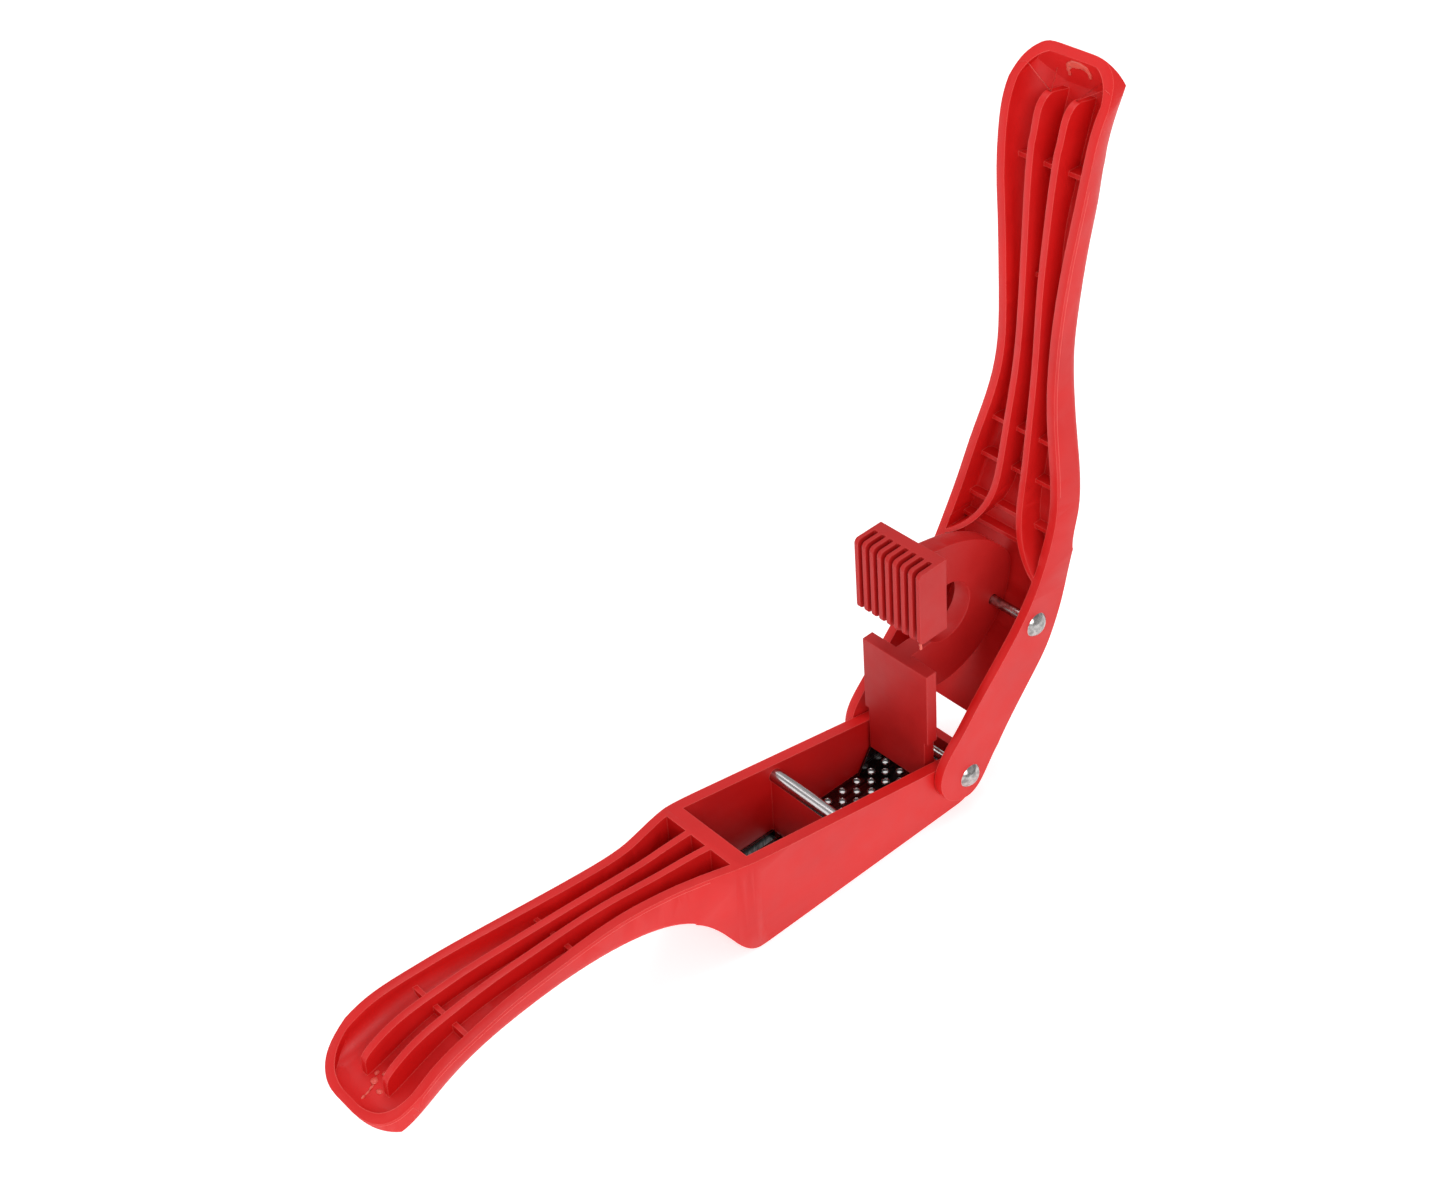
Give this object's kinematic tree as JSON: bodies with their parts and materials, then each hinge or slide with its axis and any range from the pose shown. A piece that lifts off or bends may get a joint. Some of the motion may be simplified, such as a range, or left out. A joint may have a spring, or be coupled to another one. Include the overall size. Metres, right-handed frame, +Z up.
{
  "type": "garlic press",
  "caption": "Jaw-type hand press with two ribbed handles, a pressing plate over a perforated sheet and a finned block over slicing blades.",
  "frame": {"origin": "on the flat underside, at the foot of the wall between the two chambers, straight under the crossbar", "axes": "+X from the lower handle towards the hinge, +Y along the hinge pin to the far side, +Z up, away from the flat underside"},
  "size_m": [0.2534, 0.0416, 0.2044],
  "materials": {
    "red_plastic": "satin moulded",
    "dull_red_plastic": "matt moulded",
    "polished_steel": "polished",
    "stainless_sheet": "bright stamped"
  },
  "bodies": {
    "base": {"lower_body": "red_plastic", "crossbar": "polished_steel", "perforated_sheet": "stainless_sheet", "blade_frame": "stainless_sheet", "slicing_blade_1": "stainless_sheet", "slicing_blade_2": "stainless_sheet", "slicing_blade_3": "stainless_sheet", "slicing_blade_4": "stainless_sheet", "slicing_blade_5": "stainless_sheet", "slicing_blade_6": "stainless_sheet", "slicing_blade_7": "stainless_sheet", "slicing_blade_8": "stainless_sheet"},
    "lever": {"upper_lever": "red_plastic", "hinge_pin": "polished_steel", "hinge_pin_cap": "polished_steel", "pusher_pin": "polished_steel", "pusher_pin_cap": "polished_steel"},
    "pusher": {"pusher": "dull_red_plastic"}
  },
  "joints": [
    {"name": "lever_hinge", "type": "hinge", "parent": "base", "child": "lever", "pos_m": [0.045, 0, 0.012], "axis": [0, 1, 0], "range_deg": [-88.5, 0]},
    {"name": "pusher_pivot", "type": "hinge", "parent": "lever", "child": "pusher", "pos_m": [0.07057, 0, 0.05148], "axis": [0, 1, 0], "range_deg": [0, 0.8]}
  ]
}
